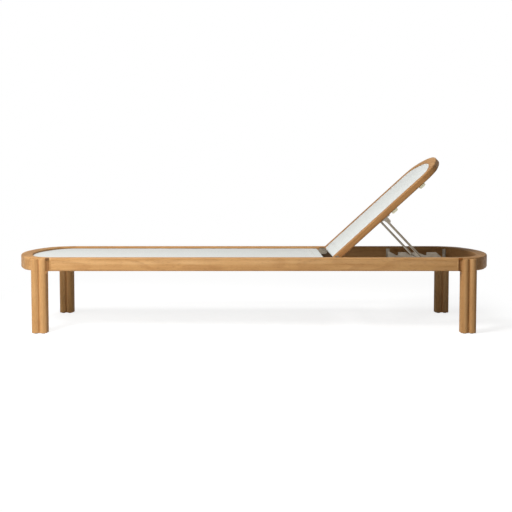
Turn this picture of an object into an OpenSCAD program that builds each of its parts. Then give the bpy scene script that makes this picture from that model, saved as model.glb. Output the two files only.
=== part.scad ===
// Teak sun lounger: a ring frame on four lobed legs, a taut mesh seat and a
// mesh back that tilts on a steel hinge and is held by a strut in a rack.
// X runs from the foot to the head, Y across, Z up. The origin is on the floor
// under the middle of the ring frame. Left is the side at -Y.

/* [Ring frame] */
// Length of the ring frame over its rounded ends
ring_l = 2050; // [1950:10:2200]
// Width of the ring frame
ring_w = 740; // [700:10:850]
// Height of the top of the ring frame above the floor
ring_top = 317; // [290:1:380]
// Width of the frame rails seen from above
rail_w = 50; // [46:1:52]
// Height of the frame rails
rail_h = 55; // [52:1:62]
// Rounding of the rail edges
rail_edge = 6; // [3:1:9]
// Outer radius of the four corners
corner_r = 140; // [125:5:160]
// Outer radius of the bowed ends
end_r = 760; // [700:20:900]

/* [Legs] */
// Distance of the leg's middle from the start of the curved corner, along the side
leg_off = 54; // [48:1:58]
// Width of a leg, which is square in plan
leg_w = 65; // [62:1:70]
// Radius of each of the four lobes of a leg
lobe_r = 17.2; // [16.8:0.2:19]
// How far a leg stands out from the side rail
leg_proud = 3; // [2:0.5:5]
// How far the top of a leg stays below the top of the rail
leg_drop = 4; // [2:1:8]
// Size of the small haunch under the rail beside a leg
haunch = 12; // [6:1:14]
// Radius of the upright cove in the rail beside a leg
cove_r = 10; // [8:0.5:11]
// Thickness of the glides under the legs
glide_t = 3; // [2:0.5:6]
// Radius of a glide
glide_r = 7; // [5:0.5:9]

/* [Slings] */
// Thickness of the mesh
mesh_t = 1.6; // [1:0.2:2]
// How far the top of the seat mesh lies below the ring's top
seat_drop = 9; // [8:1:14]
// Radius of the round welt along the mesh's edge
welt_r = 3.2; // [3:0.1:3.6]
// Depth of a welt's centre behind the inner face of its rail
groove_d = 9; // [8:0.5:12]
// Distance from the head end of the seat mesh to the hinge pin
seat_to_hinge = 29; // [28:1:45]
// Outer radius of the tubes that the mesh ends wrap
tube_r = 8; // [7:0.5:8.5]
// Wall of the tubes
tube_wall = 1.5; // [1:0.5:3]

/* [Back] */
// Angle of the back above the flat
back_angle = 42.4; // [40:0.2:44]
// Distance of the hinge pin from the head end of the ring
hinge_to_head = 694; // [692:1:699]
// Depth of the hinge pin below the ring's top
hinge_drop = 19; // [18:1:21]
// Gap between the back and the ring round it
back_gap = 4.5; // [4.5:0.5:6.5]
// Width of the back's rails seen from above
back_w = 42; // [38:1:46]
// Thickness of the back's rails
back_t = 26; // [22:1:27]
// Rounding of the back's edges
back_edge = 5; // [3:0.5:7]
// Distance from the hinge pin to the end of the back's side rails
back_start = 12; // [10:1:14]
// Height of the back's mesh above the middle of its rails
back_mesh_v = 10; // [6:0.5:10]

/* [Strut and rack] */
// Distance of the strut's pivot from the hinge pin, along the back
pivot_u = 286; // [280:2:290]
// Distance of the strut's pivot below the middle of the back's rails
pivot_v = 35; // [32:1:38]
// Length of the strut between the middles of its cross rods
strut_l = 246; // [242:1:250]
// Radius of the strut's rods
rod_r = 5; // [4:0.5:6]
// Distance of a strut arm's middle from the rack plate beside it
arm_to_rack = 32; // [26:1:45]
// Height of the foot rod's middle when it is in a notch
foot_z = 287; // [284:1:290]
// Back angles that the notches give
notch_angles = [50.4, 42.4, 31.3];
// Run of the ramp ahead of each notch
ramp_run = [33, 17, 40];
// Height of a tooth above the middle of the foot rod
tooth_up = 9; // [7:0.5:11]
// Thickness of the rack plates
rack_t = 3; // [2:0.5:4]
// Width of the straps that carry the rack plates
strap_w = 16.5; // [14:0.5:20]

/* [Hidden] */

// Clearance round a glued or press-fitted wooden or steel piece
fit = 0.15;
// Radial running clearance of a turning pin
run = 0.05;
// How far a cutting shape passes the face it cuts
over = 2;

teak = "#c4935c";
teak_end = "#b98550";
steel = "#8d8a84";
dark_steel = "#5d5a56";
mesh_colour = "#dcdad4";
hem_colour = "#e8e0cc";
nylon = "#d9d6b8";

// Centres of the corner and end arcs of the ring, and the angle where they meet
corner_y = ring_w / 2 - corner_r;
end_x = ring_l / 2 - end_r;
corner_x = end_x + sqrt(pow(end_r - corner_r, 2) - pow(corner_y, 2));
meet = asin(corner_y / (end_r - corner_r));
rail_mid_z = ring_top - rail_h / 2;
rail_low = ring_top - rail_h;
inner_y = ring_w / 2 - rail_w;
hinge_x = ring_l / 2 - hinge_to_head;
seat_end = hinge_x - seat_to_hinge;

// Loose tenons of the ring's corners: length, thickness, height, and drop below
// the middle of the rail
ring_tenon = [50, 12, 26];
ring_tenon_drop = 6;

// Legs
leg_x = corner_x + leg_off;
leg_y = ring_w / 2 + leg_proud - leg_w / 2;
lobe_at = leg_w / 2 - lobe_r;
leg_top = ring_top - leg_drop;
lobe_round = 2.5;
// Upright studs that fix a leg under the ring, half of each in the leg
stud_r = 4;
stud_l = 60;
stud_at = 10;
// How far the haunch reaches under the leg, and its inset from the leg's sides
haunch_root = 12;
haunch_inset = 4;
// The cove beside a leg: middle from the leg's side and from the rail's face,
// and how far its top stays below the ring's top
cove_at = 4;
cove_out = 1;
cove_drop = 7;

// Mesh, welts and grooves
channel_r = welt_r + 0.4;
seat_mesh_z = ring_top - seat_drop;
// Height of the mesh's underside above the middle of its welt
mesh_low = welt_r - 0.7 - mesh_t;
seat_hem_z = seat_mesh_z - mesh_t - mesh_low;
slot_h = mesh_t + 0.8;
// Angle by which a curved groove passes the ends of its rail
groove_pass = 1;
wrap_r = tube_r + 1.8;
wrap_bore_r = tube_r + 0.2;
seat_tube_x = seat_end - wrap_r;
seat_tube_z = seat_mesh_z + 0.3 - wrap_r;
seat_hem_end = seat_end - 2 * wrap_r - 2;
socket_d = 12;
tube_end_gap = 4;

// Stretchers under the seat
stretcher_w = 40;
stretcher_h = 22;
stretcher_round = 4;
stretcher_z = rail_low + 2 + stretcher_h / 2;
foot_stretcher_in = 605;
middle_stretcher_in = 119;
foot_stretcher_x = -ring_l / 2 + foot_stretcher_in;
middle_stretcher_x = seat_end - middle_stretcher_in;
tenon_l = 15;
tenon_shoulder = [6, 4];

// Loose tenons of the back's corners, and their height above its underside
back_tenon = [44, 12, 8];
back_tenon_up = 7;

// Back, as it lies flat inside the ring
hinge_z = ring_top - hinge_drop;
back_off = rail_w + back_gap;
back_out_y = ring_w / 2 - back_off;
back_in_y = back_out_y - back_w;
back_x0 = hinge_x + back_start;
back_hem_v = back_mesh_v - mesh_t - mesh_low;
back_tube_x = back_x0 + wrap_r;
back_tube_v = back_mesh_v + 0.3 - wrap_r;
back_hem_start = back_x0 + 2 * wrap_r + 2;

// Hinge
pin_r = 4;
plate_t = 3;
plate_l = 46;
plate_h = 26;
plate_x = hinge_x - 6;
plate_z = hinge_z - 2;
leaf_t = 3;
leaf_l = 42;
leaf_h = 16;
leaf_gap = 0.3;
leaf_screw_u = [18, 29];
plate_screw_back = 15;
plate_screw_up = [-6, 6];
pin_hold = 25;
pin_head_r = 6.5;
pin_head_h = 3;
leaf_out_y = inner_y - plate_t - leaf_gap;
screw_r = 2;
screw_head_r = 4;
screw_head_h = 2;
screw_l = 18;

// Strut and rack
pivot_reach = sqrt(pow(pivot_u, 2) + pow(pivot_v, 2));
pivot_dip = atan(pivot_v / pivot_u);
function pivot_at(t) = [
    hinge_x + pivot_reach * cos(t - pivot_dip),
    hinge_z + pivot_reach * sin(t - pivot_dip)
];
function foot_x(t) = pivot_at(t)[0] + sqrt(pow(strut_l, 2) - pow(pivot_at(t)[1] - foot_z, 2));
pivot_rest = pivot_at(back_angle);
strut_angle = -asin((pivot_rest[1] - foot_z) / strut_l);
notch_x = [for (t = notch_angles) foot_x(t)];
boss_r = 7;
boss_l = 12;
rack_to_back = 19.5;
rack_out_y = back_in_y - rack_to_back;
rack_in_y = rack_out_y - rack_t;
rod_end_gap = 0.5;
rod_end_y = rack_in_y - rod_end_gap;
arm_y = rack_in_y - arm_to_rack;
notch_slack = 0.6;
tooth_z = foot_z + tooth_up;
first_tooth_up = 4;
rack_low = rail_low + 2;
rack_nose = 5;
rack_front = notch_x[0] - rod_r - notch_slack - ramp_run[0] - rack_nose;
last_flat = 45;
last_ramp = 28;
rack_tail_z = rack_low + 7;
rack_back_drop = notch_x[2] + rod_r + notch_slack + last_flat;
strap_t = 3;
// Seat of the rear strap on the curved inner face of the ring's corner
rear_turn = 49;
corner_in_r = corner_r - rail_w;
strap_sink = corner_in_r - sqrt(pow(corner_in_r, 2) - pow(strap_w / 2, 2));
function on_corner(x, y) = [
    corner_x + (corner_in_r + x) * cos(rear_turn) - y * sin(rear_turn),
    corner_y + (corner_in_r + x) * sin(rear_turn) + y * cos(rear_turn)
];
rack_tail_x = on_corner(-strap_sink, -strap_w / 2)[0];
tail_l = 22;
strap_top = ring_top - 9;
tab_h = 14;
strap_screw_up = [7, 16];

// Lug that carries the strut's axle
lug_y = back_in_y + 15;
lug_t = 6;
lug_r = 9;
lug_base_t = 3;
lug_base_l = 44;
lug_base_w = 24;
lug_base_shift = 6;
bracket_screw_u = 15;
bracket_screw_y = 6;
axle_end = 3;
axle_end_y = lug_y + lug_t / 2 + axle_end;

// Buffers and the ledges they land on
buffer_u = [334, 488];
buffer_l = 28;
buffer_w = 18;
buffer_h = 10;
buffer_round = 5;
buffer_y = back_out_y - 11;
ledge_w = 14;
ledge_gap = 0.3;
ledge_top = hinge_z - back_t / 2 - buffer_h - ledge_gap;
ledge_x0 = rack_front + strap_w + 4;
ledge_x1 = corner_x - 3;
ledge_screw_in = 42;

// Plan outlines and swept profiles

module rounded_rect(w, h, r) {
    square([w - 2 * r, h], center = true);
    square([w, h - 2 * r], center = true);
    for (sx = [-1, 1], sy = [-1, 1])
        translate([sx * (w / 2 - r), sy * (h / 2 - r)]) circle(r, $fn = 32);
}

// Straight bar along X with a rounded section, between two values of X
module bar_x(x0, x1, w, h, r) {
    translate([x0, 0, 0])
        rotate([90, 0, 90])
            linear_extrude(x1 - x0) rounded_rect(w, h, r);
}

// Section swept round one corner of the ring, by the outer inset of its middle,
// with each end drawn back by the angle trim
module corner_sweep(inset, trim = 0) {
    translate([corner_x, corner_y, 0])
        rotate([0, 0, meet + trim])
            rotate_extrude(angle = 90 - meet - 2 * trim, $fn = 96)
                translate([corner_r - inset, 0]) children();
}

// Section swept round the bowed head end
module end_sweep(inset, trim = 0) {
    translate([end_x, 0, 0])
        rotate([0, 0, -meet + trim])
            rotate_extrude(angle = 2 * (meet - trim), $fn = 180)
                translate([end_r - inset, 0]) children();
}

// Outline of the head end inside the ring, closed across X of x0
function head_outline(x0, inset) = let (
    half = ring_w / 2 - inset,
    corner = [for (i = [0:10])
        let (t = 90 - i * (90 - meet) / 10)
            [corner_x + (corner_r - inset) * cos(t), corner_y + (corner_r - inset) * sin(t)]],
    bow = [for (i = [1:11])
        let (t = meet - i * 2 * meet / 12)
            [end_x + (end_r - inset) * cos(t), (end_r - inset) * sin(t)]]
) concat(
    [[x0, -half], [x0, half]],
    corner,
    bow,
    [for (i = [10:-1:0]) [corner[i][0], -corner[i][1]]]
);

// Groove in the inner face of a rail of width w: round channel and narrow slot.
// The origin of the section is the middle of the rail.
module groove_section(w, hem_z) {
    translate([groove_d - w / 2, hem_z]) circle(channel_r, $fn = 32);
    translate([-w / 2 - over, hem_z + mesh_low - 0.4]) square([groove_d + over, slot_h]);
}

// Turns the back, modelled flat, about the hinge pin
module raised() {
    translate([hinge_x, 0, hinge_z])
        rotate([0, -back_angle, 0])
            translate([-hinge_x, 0, -hinge_z]) children();
}

module to_side(s) {
    mirror([0, s > 0 ? 0 : 1, 0]) children();
}

module to_end(e) {
    mirror([e > 0 ? 0 : 1, 0, 0]) children();
}

// Cylinder along Y between two values of Y
module rod_y(y0, y1, r) {
    translate([0, y0, 0]) rotate([-90, 0, 0]) cylinder(r = r, h = y1 - y0, $fn = 48);
}

// Pan head screw along Y whose head lies on the plane y, pointing to +Y
module screw_y(y, head = true) {
    if (head) rod_y(y - screw_head_h, y, screw_head_r);
    rod_y(head ? y : y - over, y + screw_l, head ? screw_r : screw_r + run);
}

// Ring frame

module tenon(size, clear) {
    cube([for (length = size) length + 2 * clear], center = true);
}

// Tenons at the two ends of the head right corner
module corner_tenons(clear) {
    rail_line = rail_w / 2;
    tenon_z = rail_mid_z - ring_tenon_drop;
    translate([corner_x, ring_w / 2 - rail_line, tenon_z]) tenon(ring_tenon, clear);
    translate([corner_x, corner_y, tenon_z])
        rotate([0, 0, meet])
            translate([corner_r - rail_line, 0, 0]) rotate([0, 0, 90]) tenon(ring_tenon, clear);
}

module frame_tenons() {
    color(teak_end)
        for (e = [-1, 1], s = [-1, 1])
            to_end(e) to_side(s) corner_tenons(0);
}

// Studs of the head right leg
module studs(clear) {
    for (u = [-stud_at, stud_at])
        translate([leg_x + u, leg_y, rail_low - stud_l / 2 - clear])
            cylinder(r = stud_r + clear, h = stud_l + 2 * clear, $fn = 48);
}

module leg_studs() {
    color(steel)
        for (e = [-1, 1], s = [-1, 1])
            to_end(e) to_side(s) studs(0);
}

// Upright cove in the rail's outer face beside the head right leg
module leg_cove(clear) {
    translate([leg_x - leg_w / 2 - cove_at, ring_w / 2 + cove_out, rail_low - over])
        cylinder(r = cove_r + clear, h = rail_h + over - cove_drop + clear, $fn = 64);
}

module stretcher_tenons(x, clear) {
    for (s = [-1, 1])
        translate([x, s * (inner_y + tenon_l / 2), stretcher_z])
            tenon([stretcher_w - 2 * tenon_shoulder[0], tenon_l,
                   stretcher_h - 2 * tenon_shoulder[1]], clear);
}

module stretcher(x) {
    color(teak) {
        translate([x, 0, stretcher_z])
            rotate([0, 0, 90])
                bar_x(-inner_y, inner_y, stretcher_w, stretcher_h, stretcher_round);
        stretcher_tenons(x, 0);
    }
}

module side_rail(s) {
    color(teak) to_side(s) difference() {
        translate([0, ring_w / 2 - rail_w / 2, rail_mid_z])
            bar_x(-corner_x, corner_x, rail_w, rail_h, rail_edge);
        // groove for the seat's hem, which stops short of the hinge
        translate([-corner_x - over, ring_w / 2 - rail_w / 2, 0])
            rotate([90, 0, 90])
                linear_extrude(seat_hem_end + corner_x + over + 1) groove_section(rail_w, seat_hem_z);
        for (e = [-1, 1]) to_end(e) corner_tenons(fit);
        for (x = [foot_stretcher_x, middle_stretcher_x]) stretcher_tenons(x, fit);
        translate([seat_tube_x, 0, seat_tube_z])
            rod_y(inner_y - over, inner_y + socket_d + fit, tube_r + run);
        translate([hinge_x, 0, hinge_z]) rod_y(inner_y - over, inner_y + pin_hold + 1, pin_r + run);
        plate_screw_places() screw_y(inner_y, false);
        front_screw_places() screw_y(inner_y, false);
        ledge_screw_places() screw_y(inner_y, false);
    }
}

module end_rail(e) {
    color(teak) to_end(e) difference() {
        translate([0, 0, rail_mid_z]) end_sweep(rail_w / 2) rounded_rect(rail_w, rail_h, rail_edge);
        if (e < 0) end_sweep(rail_w / 2, -groove_pass) groove_section(rail_w, seat_hem_z);
        for (s = [-1, 1]) to_side(s) corner_tenons(fit);
    }
}

module ring_corner(e, s) {
    color(teak) to_end(e) to_side(s) difference() {
        translate([0, 0, rail_mid_z])
            corner_sweep(rail_w / 2) rounded_rect(rail_w, rail_h, rail_edge);
        if (e < 0) corner_sweep(rail_w / 2, -groove_pass) groove_section(rail_w, seat_hem_z);
        if (e > 0) rear_screw_places() rotate([0, 0, -90]) screw_y(0, false);
        corner_tenons(fit);
        studs(fit);
        leg_cove(0);
    }
}

// Legs

module lobe(h, r, top_round) {
    rotate_extrude($fn = 64) {
        square([r - top_round, h]);
        square([r, h - top_round]);
        translate([r - top_round, h - top_round]) circle(top_round, $fn = 24);
    }
}

module leg(e, s) {
    color(teak) to_end(e) to_side(s) difference() {
        union() {
            for (lx = [-1, 1], ly = [-1, 1])
                translate([leg_x + lx * lobe_at, leg_y + ly * lobe_at, glide_t])
                    lobe(leg_top - glide_t, lobe_r, lobe_round);
            translate([leg_x - lobe_at, leg_y - lobe_at, glide_t])
                cube([2 * lobe_at, 2 * lobe_at, leg_top - glide_t - lobe_round]);
            // haunch towards the middle of the side rail
            translate([leg_x - leg_w / 2 - haunch, leg_y + haunch_inset, rail_low - haunch])
                difference() {
                    cube([haunch + haunch_root, leg_w / 2 - leg_proud - 2 * haunch_inset, haunch]);
                    translate([0, -over, 0])
                        rotate([-90, 0, 0]) cylinder(r = haunch, h = leg_w, $fn = 48);
                }
        }
        // housing open to the inner side and the top, in which the curved rail lies;
        // the lobe stays whole in the cove
        difference() {
            translate([corner_x, corner_y, rail_low])
                cylinder(r = corner_r + fit, h = rail_h, $fn = 96);
            leg_cove(-fit);
        }
        studs(fit);
    }
}

module leg_glides() {
    color(dark_steel)
        for (e = [-1, 1], s = [-1, 1], lx = [-1, 1], ly = [-1, 1])
            translate([e * leg_x + lx * lobe_at, s * leg_y + ly * lobe_at, 0])
                cylinder(r = glide_r, h = glide_t, $fn = 48);
}

// Seat

module tube_y(half, r, wall) {
    difference() {
        rod_y(-half, half, r);
        rod_y(-half - over, half + over, r - wall);
    }
}

module seat_end_tube() {
    color(steel) translate([seat_tube_x, 0, seat_tube_z])
        tube_y(inner_y + socket_d, tube_r, tube_wall);
}

// End of a mesh wrapped round its tube: a strip of length l towards -X and a loop
module mesh_end(l, half) {
    rotate([90, 0, 0]) translate([0, 0, -half]) linear_extrude(2 * half) difference() {
        union() {
            circle(wrap_r, $fn = 64);
            translate([-l, wrap_r - 0.3 - mesh_t]) square([l - 4, mesh_t]);
        }
        circle(wrap_bore_r, $fn = 64);
    }
}

module seat_sling() {
    color(mesh_colour) {
        mirror([1, 0, 0])
            translate([0, 0, seat_mesh_z - mesh_t])
                linear_extrude(mesh_t)
                    polygon(head_outline(-seat_hem_end, rail_w - groove_d + welt_r + 0.05));
        translate([seat_tube_x, 0, seat_tube_z])
            mesh_end(seat_tube_x - seat_hem_end + 1, inner_y - tube_end_gap);
    }
}

// Round welts sewn along the mesh's edge, in lengths that nearly meet
module welt_lengths(x0, hem_y, hem_in) {
    trim = 0.3;
    for (s = [-1, 1])
        to_side(s) {
            translate([x0, hem_y, 0])
                rotate([0, 90, 0]) cylinder(r = welt_r, h = corner_x - x0 - 0.4, $fn = 32);
            corner_sweep(hem_in, trim) circle(welt_r, $fn = 32);
        }
    end_sweep(hem_in, trim / 5) circle(welt_r, $fn = 32);
}

module seat_welt() {
    color(hem_colour)
        mirror([1, 0, 0])
            translate([0, 0, seat_hem_z])
                welt_lengths(-seat_hem_end, inner_y + groove_d, rail_w - groove_d);
}

// Hinge

module stadium_y(l, h, y0, y1) {
    translate([-(l - h) / 2, y0, -h / 2]) cube([l - h, y1 - y0, h]);
    for (s = [-1, 1]) translate([s * (l - h) / 2, 0, 0]) rod_y(y0, y1, h / 2);
}

module plate_screw_places() {
    for (up = plate_screw_up) translate([plate_x - plate_screw_back, 0, plate_z + up]) children();
}

module hinge_plate(s) {
    color(steel) to_side(s) difference() {
        translate([plate_x, 0, plate_z]) stadium_y(plate_l, plate_h, inner_y - plate_t, inner_y);
        translate([hinge_x, 0, hinge_z]) rod_y(inner_y - plate_t - over, inner_y + over, pin_r);
        plate_screw_places() rod_y(inner_y - plate_t - over, inner_y + over, screw_r + run);
    }
}

module hinge_bolts() {
    color(dark_steel)
        for (s = [-1, 1])
            to_side(s) translate([hinge_x, 0, hinge_z]) {
                rod_y(leaf_out_y - leaf_t - pin_head_h, leaf_out_y - leaf_t, pin_head_r);
                rod_y(leaf_out_y - leaf_t, inner_y + pin_hold, pin_r);
            }
}

module hinge_screws() {
    color(dark_steel)
        for (s = [-1, 1])
            to_side(s) plate_screw_places() screw_y(inner_y - plate_t);
}

module leaf_screw_places() {
    for (u = leaf_screw_u) translate([hinge_x + u, 0, hinge_z]) children();
}

// Leaf let into the outer face of the back's rail, with an eye on the hinge pin
module leaf_shape(clear, y0, y1) {
    translate([hinge_x + leaf_l / 2 - leaf_h / 2, 0, hinge_z])
        stadium_y(leaf_l + 2 * clear, leaf_h + 2 * clear, y0, y1);
}

module hinge_leaf(s) {
    color(steel) raised() to_side(s) difference() {
        leaf_shape(0, leaf_out_y - leaf_t, leaf_out_y);
        translate([hinge_x, 0, hinge_z])
            rod_y(leaf_out_y - leaf_t - over, leaf_out_y + over, pin_r + run);
        leaf_screw_places() mirror([0, 1, 0])
            rod_y(-leaf_out_y - over, -leaf_out_y + leaf_t + over, screw_r + run);
    }
}

module leaf_screws() {
    color(dark_steel) raised()
        for (s = [-1, 1])
            to_side(s) leaf_screw_places() mirror([0, 1, 0])
                rod_y(-leaf_out_y, -leaf_out_y + leaf_t + screw_l, screw_r);
}

// Back

module back_corner_sweep(trim = 0) {
    corner_sweep(back_off + back_w / 2, trim) children();
}

module back_corner_tenon(clear) {
    line = back_off + back_w / 2;
    tenon_z = hinge_z - back_t / 2 + back_tenon_up;
    translate([corner_x, ring_w / 2 - line, tenon_z]) tenon(back_tenon, clear);
    translate([corner_x, corner_y, tenon_z])
        rotate([0, 0, meet])
            translate([corner_r - line, 0, 0]) rotate([0, 0, 90]) tenon(back_tenon, clear);
}

module back_tenons() {
    color(teak_end) raised()
        for (s = [-1, 1]) to_side(s) back_corner_tenon(0);
}

module back_rail(s) {
    color(teak) raised() to_side(s) difference() {
        translate([0, back_in_y + back_w / 2, hinge_z])
            bar_x(back_x0, corner_x, back_w, back_t, back_edge);
        translate([back_hem_start - 1, back_in_y + back_w / 2, 0])
            rotate([90, 0, 90])
                linear_extrude(corner_x - back_hem_start + over)
                    groove_section(back_w, hinge_z + back_hem_v);
        back_corner_tenon(fit);
        leaf_shape(fit, leaf_out_y - leaf_t, back_out_y + over);
        leaf_screw_places() rod_y(leaf_out_y - leaf_t - screw_l - fit, back_out_y, screw_r + run);
        translate([back_tube_x, 0, hinge_z + back_tube_v])
            rod_y(back_in_y - over, back_in_y + socket_d + fit, tube_r + run);
        bracket_screw_places(screw_r + run, screw_l + fit);
    }
}

module back_corner(s) {
    color(teak) raised() to_side(s) difference() {
        translate([0, 0, hinge_z]) back_corner_sweep() rounded_rect(back_w, back_t, back_edge);
        back_corner_sweep(-groove_pass) groove_section(back_w, hinge_z + back_hem_v);
        back_corner_tenon(fit);
    }
}

module back_top_rail() {
    color(teak) raised() difference() {
        translate([0, 0, hinge_z])
            end_sweep(back_off + back_w / 2) rounded_rect(back_w, back_t, back_edge);
        end_sweep(back_off + back_w / 2, -groove_pass)
            groove_section(back_w, hinge_z + back_hem_v);
        for (s = [-1, 1]) to_side(s) back_corner_tenon(fit);
    }
}

module back_lower_tube() {
    color(steel) raised()
        translate([back_tube_x, 0, hinge_z + back_tube_v])
            tube_y(back_in_y + socket_d, tube_r, tube_wall);
}

module back_sling() {
    color(mesh_colour) raised() {
        translate([0, 0, hinge_z + back_mesh_v - mesh_t])
            linear_extrude(mesh_t)
                polygon(head_outline(back_hem_start, back_off + back_w - groove_d + welt_r + 0.05));
        translate([back_tube_x, 0, hinge_z + back_tube_v])
            mirror([1, 0, 0]) mesh_end(back_hem_start - back_tube_x + 1, back_in_y - tube_end_gap);
    }
}

module back_welt() {
    color(hem_colour) raised()
        translate([0, 0, hinge_z + back_hem_v])
            welt_lengths(back_hem_start, back_in_y + groove_d, back_off + back_w - groove_d);
}

// Buffers under the back's side rails

module back_buffers() {
    color(nylon) raised()
        for (s = [-1, 1], u = buffer_u)
            to_side(s)
                translate([hinge_x + u, buffer_y - buffer_w / 2, hinge_z - back_t / 2 - buffer_h])
                    rotate([90, 0, 0]) translate([0, 0, -buffer_w])
                        linear_extrude(buffer_w) buffer_section();
}

module buffer_section() {
    half = buffer_l / 2;
    translate([-half + buffer_round, 0]) square([buffer_l - 2 * buffer_round, buffer_h]);
    translate([-half, buffer_round]) square([buffer_l, buffer_h - buffer_round]);
    for (sx = [-1, 1])
        translate([sx * (half - buffer_round), buffer_round]) circle(buffer_round, $fn = 32);
}

// Strut brackets

module bracket_screw_places(r, l) {
    for (u = [-1, 1] * bracket_screw_u, y = [-1, 1] * bracket_screw_y)
        translate([hinge_x + pivot_u + u, lug_y + lug_base_shift + y,
                   hinge_z - back_t / 2 - lug_base_t - over])
            cylinder(r = r, h = l + lug_base_t + over, $fn = 24);
}

module strut_bracket(s) {
    base_z = hinge_z - back_t / 2 - lug_base_t;
    pivot_z = hinge_z - pivot_v;
    color(steel) raised() to_side(s) difference() {
        union() {
            translate([hinge_x + pivot_u - lug_base_l / 2, lug_y + lug_base_shift - lug_base_w / 2, base_z])
                cube([lug_base_l, lug_base_w, lug_base_t]);
            translate([hinge_x + pivot_u - lug_r, lug_y - lug_t / 2, pivot_z])
                cube([2 * lug_r, lug_t, base_z - pivot_z + 1]);
            translate([hinge_x + pivot_u, 0, pivot_z])
                rod_y(lug_y - lug_t / 2, lug_y + lug_t / 2, lug_r);
        }
        translate([hinge_x + pivot_u, 0, pivot_z])
            rod_y(lug_y - lug_t, lug_y + lug_t, rod_r + run);
        bracket_screw_places(screw_r + run, over);
    }
}

module bracket_screws() {
    head_z = hinge_z - back_t / 2 - lug_base_t;
    color(dark_steel) raised()
        for (s = [-1, 1], u = [-1, 1] * bracket_screw_u, y = [-1, 1] * bracket_screw_y)
            to_side(s) translate([hinge_x + pivot_u + u, lug_y + lug_base_shift + y, 0]) {
                translate([0, 0, head_z - screw_head_h])
                    cylinder(r = screw_head_r, h = screw_head_h, $fn = 32);
                translate([0, 0, head_z])
                    cylinder(r = screw_r, h = lug_base_t + screw_l - over, $fn = 24);
            }
}

// Strut, modelled along X from its axle

module strutted() {
    translate([pivot_rest[0], 0, pivot_rest[1]]) rotate([0, -strut_angle, 0]) children();
}

module strut_axle() {
    color(steel) strutted() rod_y(-axle_end_y, axle_end_y, rod_r);
}

module foot_rod() {
    color(steel) strutted() translate([strut_l, 0, 0]) rod_y(-rod_end_y, rod_end_y, rod_r);
}

module strut_arm(s) {
    color(steel) strutted() to_side(s) difference() {
        translate([0, arm_y, 0]) rotate([0, 90, 0]) cylinder(r = rod_r, h = strut_l, $fn = 48);
        for (x = [0, strut_l]) translate([x, 0, 0]) rod_y(arm_y - boss_l, arm_y + boss_l, boss_r);
    }
}

module strut_bosses() {
    color(dark_steel) strutted()
        for (s = [-1, 1], x = [0, strut_l])
            to_side(s) translate([x, 0, 0]) difference() {
                rod_y(arm_y - boss_l / 2, arm_y + boss_l / 2, boss_r);
                rod_y(arm_y - boss_l, arm_y + boss_l, rod_r);
            }
}

// Rack

module rack_outline() {
    seat_low = foot_z - rod_r + 1;
    foot = rod_r + notch_slack;
    flat_end = [notch_x[1] - foot - ramp_run[1], notch_x[2] - foot - ramp_run[2], rack_back_drop];
    difference() {
        polygon(concat(
            [[rack_front, rack_low], [rack_front, tooth_z + first_tooth_up],
             [notch_x[0] - foot - ramp_run[0], tooth_z + first_tooth_up]],
            [for (i = [0:2]) each [
                [notch_x[i] - foot, seat_low],
                [notch_x[i] + foot, seat_low],
                [notch_x[i] + foot, tooth_z],
                [flat_end[i], tooth_z]
            ]],
            [[rack_back_drop + last_ramp, rack_tail_z], [rack_tail_x, rack_tail_z],
             [rack_tail_x, rack_low]]
        ));
        for (x = notch_x) translate([x, foot_z]) circle(foot, $fn = 32);
    }
}

module rack(s) {
    color(steel) to_side(s) translate([0, rack_out_y, 0]) rotate([90, 0, 0])
        linear_extrude(rack_t) rack_outline();
}

// Strap from the side rail's inner face down and in to the rack plate
module front_strap(s) {
    color(steel) to_side(s) difference() {
        translate([rack_front, 0, rack_low]) {
            translate([0, inner_y - strap_t, 0]) cube([strap_w, strap_t, strap_top - rack_low]);
            translate([0, rack_out_y, 0]) cube([strap_w, inner_y - rack_out_y, strap_t]);
            translate([0, rack_out_y, 0]) cube([strap_w, strap_t, tab_h]);
        }
        front_screw_places() rod_y(inner_y - strap_t - over, inner_y + over, screw_r + run);
    }
}

// Strap turned to sit on the curved face of the corner
module rear_strap(s) {
    color(steel) to_side(s) difference() {
        union() {
            corner_seat() translate([-strap_t - strap_sink, -strap_w / 2, rack_low])
                cube([strap_t, strap_w, strap_top - rack_low]);
            translate([0, 0, rack_low]) linear_extrude(strap_t) polygon([
                [rack_tail_x - tail_l, rack_out_y],
                [rack_tail_x, rack_out_y],
                on_corner(-strap_sink, -strap_w / 2),
                on_corner(-strap_sink, strap_w / 2)
            ]);
            translate([rack_tail_x - tail_l, rack_out_y, rack_low])
                cube([tail_l, strap_t, rack_tail_z - rack_low]);
        }
        rear_screw_places()
            rotate([0, 90, 0])
                cylinder(r = screw_r + run, h = 2 * (strap_t + over), center = true, $fn = 24);
    }
}

module front_screw_places() {
    for (up = strap_screw_up)
        translate([rack_front + strap_w / 2, 0, rack_low + up]) children();
}

// Origin on the curved inner face, X pointing into the wood
module corner_seat() {
    translate([corner_x, corner_y, 0])
        rotate([0, 0, rear_turn]) translate([corner_in_r, 0, 0]) children();
}

module rear_screw_places() {
    for (up = strap_screw_up)
        corner_seat() translate([-strap_sink, 0, rack_low + up]) children();
}

module strap_screws() {
    color(dark_steel)
        for (s = [-1, 1])
            to_side(s) {
                front_screw_places() screw_y(inner_y - strap_t);
                rear_screw_places() rotate([0, 0, -90]) screw_y(-strap_t);
            }
}

// Ledges that the buffers land on

module ledge_screw_places() {
    for (x = [ledge_x0 + ledge_screw_in, (ledge_x0 + ledge_x1) / 2, ledge_x1 - ledge_screw_in])
        translate([x, 0, (rack_low + ledge_top) / 2]) children();
}

module rest_ledge(s) {
    color(teak) to_side(s) difference() {
        translate([ledge_x0, inner_y - ledge_w, rack_low])
            cube([ledge_x1 - ledge_x0, ledge_w, ledge_top - rack_low]);
        ledge_screw_places() rod_y(inner_y - ledge_w - over, inner_y + over, screw_r + run);
    }
}

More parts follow.
